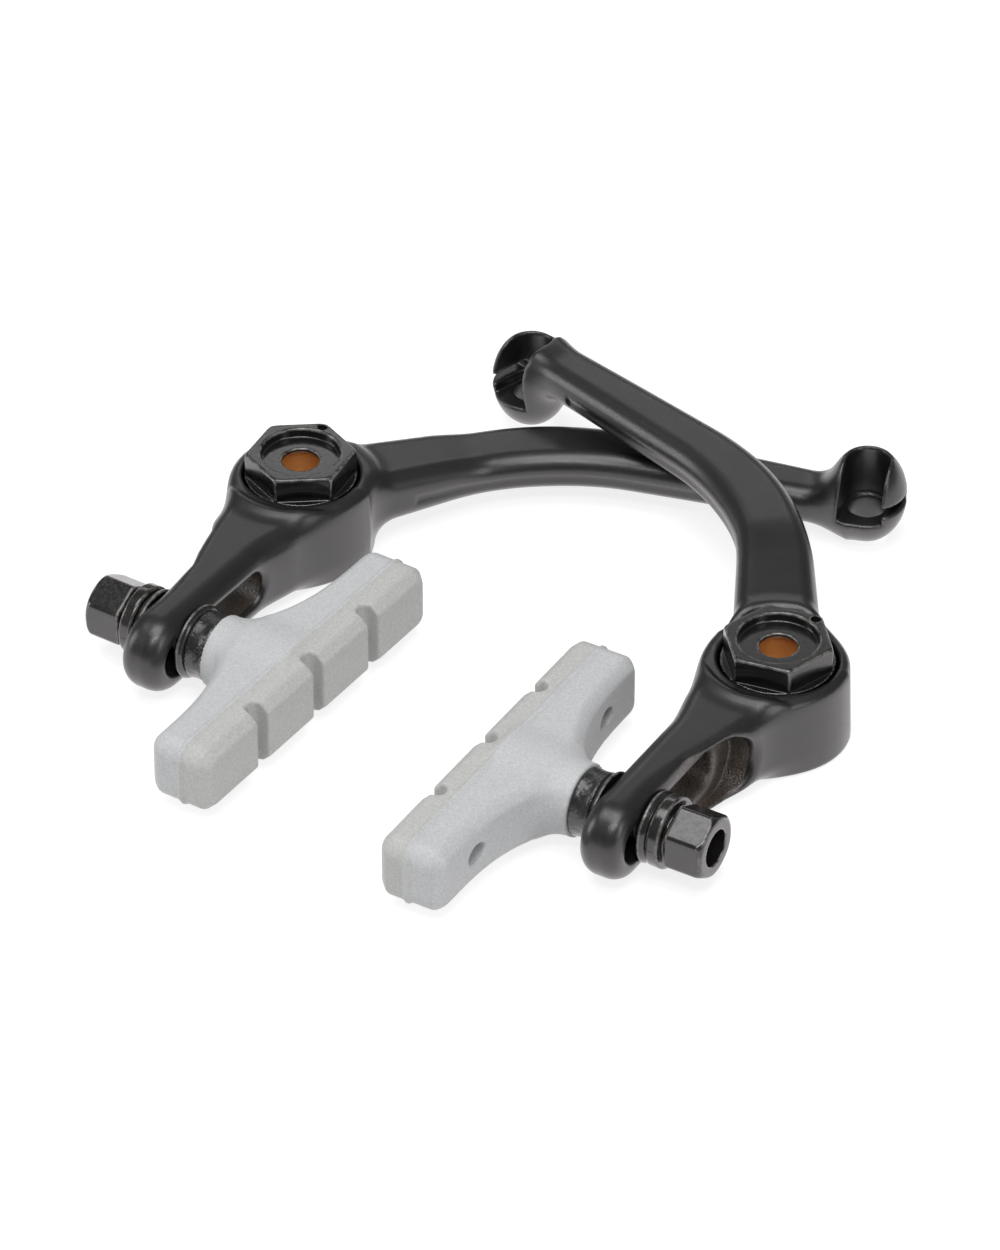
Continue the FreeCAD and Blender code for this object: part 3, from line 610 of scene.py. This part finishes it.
def arm_field(side, x, y, z):
    """The machined arm with its cable seat: a mouth down to a ledge, a bore below it and a slit for the cable."""
    arm = machined_blank(side, x, y, z)
    from_ball_x, from_ball_y = x - END[0], y - END[1]
    ahead = from_ball_x * second_way[0] + from_ball_y * second_way[1]
    inwards = -from_ball_x * second_way[1] + from_ball_y * second_way[0]
    from_ledge = z - BALL_LEVEL[side] + LEDGE_DROP
    bore = np.hypot(ahead, inwards)
    mouth = np.maximum(np.where(inwards > 0, np.abs(ahead), bore) - SEAT_RADIUS, -from_ledge)
    slit = np.maximum(np.maximum(np.abs(z - BALL_LEVEL[side]) - SLIT_HALF, -ahead), -inwards - SLIT_REACH)
    near_ball = bore - 2 * BALL_RADIUS
    arm = carve(arm, np.maximum(mouth, near_ball), 0.7)
    arm = carve(arm, bore - SEAT_BORE, 0.4)
    return carve(arm, np.maximum(slit, near_ball), 0.5)


# %% Wrap both arms
ARM_LOW, ARM_HIGH, ARM_STEP = (-84, -53, 0), (13.5, 60, 19), 0.42
BLASTED_HALF, BLASTED_STOP, BLASTED_DEPTH = 5.9, -30.0, 4


def make_arm(side):
    """One arm, whose pocket keeps the coarser blasted finish."""
    def field(x, y, z):
        return arm_field(side, x, y, z)

    points, quads, wear_and_glint, middle = shape_on_arm(field, ARM_LOW, ARM_HIGH, ARM_STEP, side)
    x, y, z = middle.T
    in_pocket = racetrack(y, z, BLASTED_HALF, POCKET_START, BLASTED_STOP) < 0
    blasted = in_pocket & (x < BLASTED_DEPTH) & (x > LEG_INNER + 1)
    finishes = [anodised_black, blasted_floor]
    arm = add_piece(f"{side}_forged_arm", points, quads, wear_and_glint, finishes, blasted)
    stand_for(arm, f"{side}_arm", f"{side}_arm")


for side in PIVOT:
    make_arm(side)

# %% [markdown]
# ## The pads
#
# A pad is one rubber moulding. Its friction block has three grooves and a bevelled face. A thin flash ridge runs
# round it where the two halves of the mould met. The back is boat-shaped and rises to a round boss on the stud.
# Distances suit it as well, because rubber from a mould has no sharp edge anywhere.

# %% The pad's shape
FLASH_X, FLASH_PROUD, FLASH_HALF = -26.1, 0.35, 0.25
PAD_HALF, PAD_HIGH, PAD_CORNER = 31.0, 5.85, 3.0
BLOCK_DEPTH, BLOCK_BEVEL = 5.2, 3.6
BACK_EDGE, BACK_RISE, BACK_RUN, BACK_BEVEL = 6.3, 3.85, 21.9, 1.6
STUD_BOSS, STUD_BOSS_TOP = 6.1, 14
GROOVES, GROOVE_HALF, GROOVE_FLOOR = (-15.4, 0, 15.4), 1.5, 3.5
MOULD_HOLES, HOLE_RADIUS, HOLE_FLOOR, HOLE_SQUEEZE = (-20, 20), 1.7, 4.1, 0.75


def pad_field(x, y, z):
    """Friction block, flash ridge, back and stud boss, in the arm's own millimetres."""
    back, length, high = x - FLASH_X, y - STUD_Y, z - STUD_Z
    outline = rounded_bar(length, high, PAD_HALF, PAD_HIGH, PAD_CORNER)
    block = np.maximum(outline, slab(back, -BLOCK_DEPTH, 0))
    block = meet(block, (outline - back - BLOCK_BEVEL) * math.sqrt(0.5), 0.3)
    share = np.clip((np.abs(length) - STUD_BOSS) / BACK_RUN, 0, 1)
    crest = BACK_EDGE + BACK_RISE * (1 - share) ** 3
    slope = 3 * BACK_RISE / BACK_RUN * (1 - share) ** 2
    shell = meet(outline, (back - crest) / np.hypot(1, slope), 2.2)
    shell = meet(shell, (outline + back - crest + BACK_BEVEL) * math.sqrt(0.5), 0.5)
    shell = np.maximum(shell, -back)
    boss = np.maximum(np.hypot(length, high) - STUD_BOSS, slab(back, 0, STUD_BOSS_TOP))
    flash = np.maximum(outline - FLASH_PROUD, slab(back, -FLASH_HALF, FLASH_HALF))
    pad = join(join(block, shell, 0.1), boss, 3.0)
    pad = join(np.maximum(pad, back - STUD_BOSS_TOP), flash, 0.3)
    for place in GROOVES:
        depth = np.maximum(back + GROOVE_FLOOR, 0)
        pad = carve(pad, np.hypot(length - place, depth) - GROOVE_HALF, 0.5)
    for place in MOULD_HOLES:
        hole = np.hypot((length - place) * HOLE_SQUEEZE, high) - HOLE_RADIUS
        pad = carve(pad, np.maximum(hole, HOLE_FLOOR - back), 0.4)
    return pad


# %% Wrap both pads
PAD_LOW, PAD_TOP, PAD_STEP = (-31.5, -72, 1.5), (-12, -8, 14.5), 0.36


def make_pad(side):
    """One pad in two greys: the block is a shade warmer than the back."""
    points, quads, wear_and_glint, middle = shape_on_arm(pad_field, PAD_LOW, PAD_TOP, PAD_STEP, side)
    on_block = middle[:, 0] < FLASH_X
    rubbers = [back_rubber, friction_rubber]
    pad = add_piece(f"{side}_moulded_pad", points, quads, wear_and_glint, rubbers, on_block)
    stand_for(pad, f"{side}_brake_pad", f"{side}_arm")


for side in PIVOT:
    make_pad(side)

# %% [markdown]
# ## Nuts, washers and spacers
#
# These are turned or cast from steel and plated black. The tension nut under the pivot bolt is a thin hexagon on
# a round collar, with a hole at one corner for the spring's end. The pad nut has a flange and a hex socket.
# A bevel modifier could round their edges, but with distances the edges also give the mask where rubbed wear and a
# painted glint go.

# %% Tension nuts
NUT_TURN = {"left": 37.5, "right": 12.8}
NUT_FOOT, COLLAR_TOP, NUT_TOP = 13.4, 14.3, 18.6
NUT_FLATS, NUT_CROWN, COLLAR_RADIUS = 16.0, 8.84, 9.2
COUNTERBORE_RADIUS, COUNTERBORE_FLOOR = 6.5, 17.0
UNDERCUT_RADIUS, UNDERCUT_TOP = 5.6, 16.2
BOLT_RADIUS = 3.1
SPRING_HOLE_ANGLE, SPRING_HOLE_REACH, SPRING_HOLE = 60, 7.9, 0.85
NUT_REACH, NUT_STEP = 9.5, 0.2


def tension_nut_field(x, y, z):
    """Crowned hexagon on a collar, counterbored for the bolt's head and drilled at one corner."""
    radius = np.hypot(x, y)
    body = meet(hexagon(x, y, NUT_FLATS, 0.25), slab(z, COLLAR_TOP, NUT_TOP), 0.4)
    body = meet(body, (radius + z - NUT_TOP - NUT_CROWN) * math.sqrt(0.5), 0.3)
    body = join(body, np.maximum(radius - COLLAR_RADIUS, slab(z, NUT_FOOT, COLLAR_TOP)), 0.2)
    body = carve(body, np.maximum(radius - COUNTERBORE_RADIUS, COUNTERBORE_FLOOR - z), 0.4)
    body = carve(body, radius - BOLT_RADIUS, 0.3)
    body = carve(body, np.maximum(radius - UNDERCUT_RADIUS, z - UNDERCUT_TOP), 0.2)
    corner = np.radians(SPRING_HOLE_ANGLE)
    hole_x, hole_y = SPRING_HOLE_REACH * math.cos(corner), SPRING_HOLE_REACH * math.sin(corner)
    return carve(body, np.hypot(x - hole_x, y - hole_y) - SPRING_HOLE, 0.2)


def make_tension_nut(side):
    """One tension nut, turned as it sits in the photograph."""
    low, high = (-NUT_REACH, -NUT_REACH, NUT_FOOT), (NUT_REACH, NUT_REACH, NUT_TOP)
    points, quads = wrap(tension_nut_field, low, high, NUT_STEP)
    points, wear_and_glint = settle(tension_nut_field, points, NUT_STEP)
    points = on_post(points, side, math.radians(NUT_TURN[side]))
    nut = add_piece(f"{side}_hex_nut", points, quads, wear_and_glint, [black_plating])
    stand_for(nut, f"{side}_tension_nut", "posts")


for side in PIVOT:
    make_tension_nut(side)

# %% Pieces on the stud
NUT_SEAT, INNER_END, SPACER_END = 1.9, -8.5, -12.1
STUD_HOLE, RING_REACH = 3.1, 6.6
FLANGE_RADIUS, FLANGE_THICKNESS, NECK_RADIUS = 6.0, 2.2, 4.4
PAD_NUT_FLATS, PAD_NUT_START, PAD_NUT_END, PAD_NUT_CROWN = 10.0, 2.9, 9.5, 4.9
SOCKET_FLATS, SOCKET_FLOOR = 5.0, 5.9
OUTER_RIM, INNER_RIM, WASHER_DISH = 6.2, 6.5, 0.8
SPACER_RIM, SPACER_WAIST = 5.8, 0.25


def pad_nut_field(x, y, z):
    """Flange, neck and hexagon along the stud, with a hex socket in the outer end."""
    out, v, u = x - NUT_SEAT, y - STUD_Y, z - STUD_Z
    radius = np.hypot(u, v)
    flange = meet(radius - FLANGE_RADIUS, slab(out, 0, FLANGE_THICKNESS), 0.5)
    neck = np.maximum(radius - NECK_RADIUS, slab(out, 1, 4))
    hexed = meet(hexagon(u, v, PAD_NUT_FLATS, 0.5), slab(out, PAD_NUT_START, PAD_NUT_END), 0.4)
    hexed = meet(hexed, (radius + out - PAD_NUT_END - PAD_NUT_CROWN) * math.sqrt(0.5), 0.3)
    nut = join(join(flange, neck, 0.4), hexed, 0.4)
    nut = carve(nut, np.maximum(hexagon(u, v, SOCKET_FLATS, 0.2), SOCKET_FLOOR - out), 0.3)
    return carve(nut, radius - STUD_HOLE, 0.2)


def ring_field(x, y, z, rim, low, high, edge):
    """A ring round the stud from low to high, with a rim of the given radius and a rounded edge."""
    radius = np.hypot(y - STUD_Y, z - STUD_Z)
    return carve(meet(radius - rim, slab(x, low, high), edge), radius - STUD_HOLE, 0.2)


def outer_washer_field(x, y, z):
    """Dished washer between the leg and the nut, widest at the leg."""
    rim = OUTER_RIM - WASHER_DISH * (x - LEG_OUTER) / (NUT_SEAT - LEG_OUTER)
    return ring_field(x, y, z, rim, LEG_OUTER, NUT_SEAT, 0.5)


def inner_washer_field(x, y, z):
    """Domed washer between the leg and the spacer, widest at the leg."""
    rim = INNER_RIM + WASHER_DISH * (x - LEG_INNER) / (LEG_INNER - INNER_END)
    return ring_field(x, y, z, rim, INNER_END, LEG_INNER, 0.4)


def spacer_field(x, y, z):
    """Cast spacer, slightly waisted about its middle."""
    middle, half = (SPACER_END + INNER_END) / 2, (INNER_END - SPACER_END) / 2
    waist = SPACER_WAIST * np.cos((x - middle) / half * math.pi / 2)
    return ring_field(x, y, z, SPACER_RIM - waist, SPACER_END, INNER_END, 0.5)


RINGS = [("pad_nut", pad_nut_field, (NUT_SEAT, NUT_SEAT + PAD_NUT_END), 0.2, oxide_worn_and_glinting, "black_oxide"),
         ("outer_washer", outer_washer_field, (LEG_OUTER, NUT_SEAT), 0.2, black_plating, "black_oxide"),
         ("inner_washer", inner_washer_field, (INNER_END, LEG_INNER), 0.2, black_plating, "black_oxide"),
         ("pad_spacer", spacer_field, (SPACER_END, INNER_END), 0.24, cast_black, "cast_black")]


def make_ring(side, name, field, reach, step, finish, slot):
    """One piece on the stud, wrapped and seated on its arm."""
    low = (reach[0], STUD_Y - RING_REACH, STUD_Z - RING_REACH)
    high = (reach[1], STUD_Y + RING_REACH, STUD_Z + RING_REACH)
    points, quads, wear_and_glint, _ = shape_on_arm(field, low, high, step, side)
    ring = add_piece(f"{side}_{name}_turned", points, quads, wear_and_glint, [finish])
    stand_for(ring, f"{side}_{name}", f"{side}_arm")


for side in PIVOT:
    for row in RINGS:
        make_ring(side, *row)

# %% [markdown]
# ## Bushings
#
# The bronze bushing is a plain turned sleeve, and the CAD solid is already right. It stays, with a better finish.

# %% Bushings keep their solids
for side in PIVOT:
    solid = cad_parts[f"{side}_pivot_bushing"]
    solid.data.materials.clear()
    solid.data.materials.append(bronze)
print("bushings finished")

# %% [markdown]
# ## Springs and studs
#
# A return spring and a screw thread follow the same rule: a line that winds round an axis. Geometry Nodes have a
# Spiral curve for that. Curve to Mesh gives it a body: a round wire for the spring, a small ridge for the thread.
# The tree has named inputs, and ends in Realize Instances and Set Material, so that it can become a plain mesh.


# %% A tree that winds a wire
def winding_tree(name, inputs, finish):
    """A node group with the given inputs: the group, its entry, the node that gathers the bodies, its sockets."""
    group = bpy.data.node_groups.new(name, "GeometryNodeTree")
    sockets = {}
    for label, value in inputs.items():
        kind = "NodeSocketBool" if isinstance(value, bool) else "NodeSocketFloat"
        socket = group.interface.new_socket(label, in_out="INPUT", socket_type=kind)
        socket.default_value = value
        sockets[label] = socket.identifier
    group.interface.new_socket("Geometry", in_out="OUTPUT", socket_type="NodeSocketGeometry")
    entry = group.nodes.new("NodeGroupInput")
    leave = group.nodes.new("NodeGroupOutput")
    realize = group.nodes.new("GeometryNodeRealizeInstances")
    dress = group.nodes.new("GeometryNodeSetMaterial")
    dress.inputs["Material"].default_value = finish
    merged = group.nodes.new("GeometryNodeJoinGeometry")
    group.links.new(merged.outputs[0], realize.inputs[0])
    group.links.new(realize.outputs[0], dress.inputs["Geometry"])
    group.links.new(dress.outputs[0], leave.inputs[0])
    return group, entry, merged, sockets


def add_body(group, entry, merged, curve, thickness, facets):
    """Give a curve a round body whose radius is a named input."""
    profile = group.nodes.new("GeometryNodeCurvePrimitiveCircle")
    profile.inputs["Resolution"].default_value = facets
    group.links.new(entry.outputs[thickness], profile.inputs["Radius"])
    body = group.nodes.new("GeometryNodeCurveToMesh")
    body.inputs["Fill Caps"].default_value = True
    group.links.new(curve.outputs["Curve"], body.inputs["Curve"])
    group.links.new(profile.outputs["Curve"], body.inputs["Profile Curve"])
    group.links.new(body.outputs["Mesh"], merged.inputs[0])


def wound_curve(group, entry, per_turn):
    """The spiral itself, driven by the inputs Turns, Radius and Height."""
    spiral = group.nodes.new("GeometryNodeCurveSpiral")
    spiral.inputs["Resolution"].default_value = per_turn
    for label, goal in (("Turns", "Rotations"), ("Radius", "Start Radius"), ("Radius", "End Radius"),
                        ("Height", "Height")):
        group.links.new(entry.outputs[label], spiral.inputs[goal])
    return spiral


def run_tree(name, group, sockets, values):
    """Evaluate the tree with the given inputs and keep the result as a plain mesh."""
    holder = bpy.data.objects.new(name, bpy.data.meshes.new(f"{name}_start"))
    scene.collection.objects.link(holder)
    modifier = holder.modifiers.new("winding", "NODES")
    modifier.node_group = group
    for label, value in values.items():
        modifier[sockets[label]] = value
    evaluated = holder.evaluated_get(bpy.context.evaluated_depsgraph_get())
    mesh = bpy.data.meshes.new_from_object(evaluated)
    holder.modifiers.remove(modifier)
    holder.data = mesh
    mesh.shade_smooth()
    print(name, len(mesh.polygons), "faces")
    return holder


# %% Return springs: a coil and two upright legs, in metres
SPRING = {"Turns": 3.0, "Radius": 0.0079, "Height": 0.0064, "Wire": 0.0008, "Leg Foot": -0.0034,
          "Leg Head": 0.0112, "Winding": False}
SPRING_LEVEL, WIRE_FACETS = 0.006, 12
spring_tree, entry, merged, spring_inputs = winding_tree("return_spring", SPRING, spring_steel)
coil = wound_curve(spring_tree, entry, 48)
spring_tree.links.new(entry.outputs["Winding"], coil.inputs["Reverse"])
add_body(spring_tree, entry, merged, coil, "Wire", WIRE_FACETS)
for low, high in ((None, "Leg Foot"), ("Height", "Leg Head")):
    leg = spring_tree.nodes.new("GeometryNodeCurvePrimitiveLine")
    for end, level in (("Start", low), ("End", high)):
        place = spring_tree.nodes.new("ShaderNodeCombineXYZ")
        spring_tree.links.new(entry.outputs["Radius"], place.inputs["X"])
        if level:
            spring_tree.links.new(entry.outputs[level], place.inputs["Z"])
        spring_tree.links.new(place.outputs[0], leg.inputs[end])
    add_body(spring_tree, entry, merged, leg, "Wire", WIRE_FACETS)

for side in PIVOT:
    values = {**SPRING, "Winding": side == "left"}
    spring = run_tree(f"{side}_wound_spring", spring_tree, spring_inputs, values)
    turn = Matrix.Rotation(math.radians(NUT_TURN[side] + SPRING_HOLE_ANGLE), 4, "Z")
    spring.data.transform(Matrix.Translation((PIVOT[side] * MM, 0, SPRING_LEVEL)) @ turn)
    stand_for(spring, f"{side}_return_spring", "posts")

# %% Pad studs: a core with a thread round it, in metres
STUD = {"Turns": 24.0, "Radius": 0.00272, "Height": 0.0259, "Ridge": 0.00026, "Core": 0.00272}
STUD_START = -18.1
stud_tree, entry, merged, stud_inputs = winding_tree("threaded_stud", STUD, stud_steel)
thread = wound_curve(stud_tree, entry, 24)
add_body(stud_tree, entry, merged, thread, "Ridge", 4)
core_line = stud_tree.nodes.new("GeometryNodeCurvePrimitiveLine")
core_end = stud_tree.nodes.new("ShaderNodeCombineXYZ")
stud_tree.links.new(entry.outputs["Height"], core_end.inputs["Z"])
stud_tree.links.new(core_end.outputs[0], core_line.inputs["End"])
add_body(stud_tree, entry, merged, core_line, "Core", 32)

for side in PIVOT:
    stud = run_tree(f"{side}_threaded_stud", stud_tree, stud_inputs, STUD)
    outwards = 1 if side == "right" else -1
    lie = Matrix.Rotation(math.radians(90 * outwards), 4, "Y")
    swing = Matrix.Rotation(SWING[side], 4, "Z")
    start = Matrix.Translation((STUD_START * MM * outwards, STUD_Y * MM, STUD_Z * MM))
    stud.data.transform(Matrix.Translation((PIVOT[side] * MM, 0, 0)) @ swing @ start @ lie)
    stand_for(stud, f"{side}_pad_stud", f"{side}_arm")
